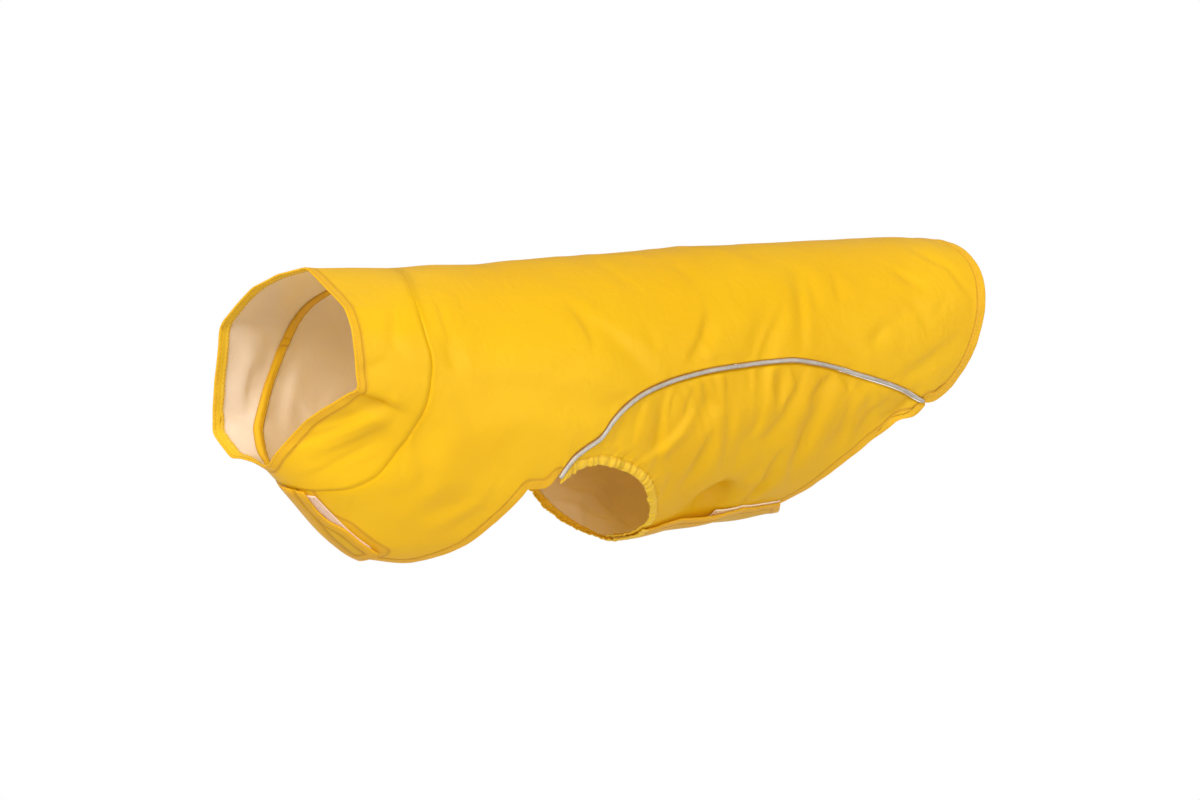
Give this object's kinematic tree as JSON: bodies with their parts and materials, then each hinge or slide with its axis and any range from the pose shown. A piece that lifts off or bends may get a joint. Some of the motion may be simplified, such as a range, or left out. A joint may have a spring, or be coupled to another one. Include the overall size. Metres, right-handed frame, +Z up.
{
  "type": "dog raincoat",
  "caption": "Yellow coated nylon dog raincoat with a stand collar, piped side seams, belly panels and gathered leg openings, filled out as worn with no wearer inside.",
  "frame": {"origin": "inner face of the back cloth on the centre line over the withers, where the wearer carries the coat", "axes": "+X towards the tail, +Y towards the dog's right side, +Z up"},
  "size_m": [0.6475, 0.1676, 0.2235],
  "materials": {
    "coated_nylon": "glossy coated plain weave",
    "elastic_casing": "gathered coated nylon over elastic",
    "seam_binding": "satin woven tape",
    "reflective_piping": "reflective grey cord",
    "loop_tape": "soft loop pile"
  },
  "bodies": {
    "root": {"back_panel": "coated_nylon", "collar": "coated_nylon", "belly_panel_left": "coated_nylon", "belly_panel_right": "coated_nylon", "leg_band_left": "elastic_casing", "leg_band_right": "elastic_casing", "piping_left": "reflective_piping", "piping_right": "reflective_piping", "neck_seam_tape": "seam_binding", "chest_loop_tape": "loop_tape", "belly_loop_tape": "loop_tape"}
  },
  "joints": []
}
